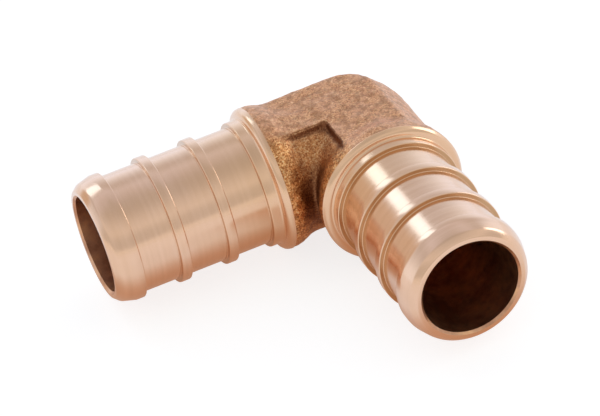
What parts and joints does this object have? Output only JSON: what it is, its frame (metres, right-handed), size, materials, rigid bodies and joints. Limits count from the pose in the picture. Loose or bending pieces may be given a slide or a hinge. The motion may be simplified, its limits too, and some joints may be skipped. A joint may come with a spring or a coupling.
{
  "type": "pex crimp elbow",
  "caption": "Right-angle brass crimp elbow with a barbed, ribbed and shouldered insert on each leg and a flat forged pad on top of the corner.",
  "frame": {"origin": "where the axes of the two legs cross", "axes": "+X and +Y point out of the two mouths along the leg axes, +Z is square to both, up through the flat pad on the corner"},
  "size_m": [0.0476, 0.0476, 0.02],
  "materials": {
    "brass": "legs turned bright, corner and back of the collars left as forged and blasted"
  },
  "bodies": {
    "root": {"crimp_elbow": "brass"}
  },
  "joints": []
}
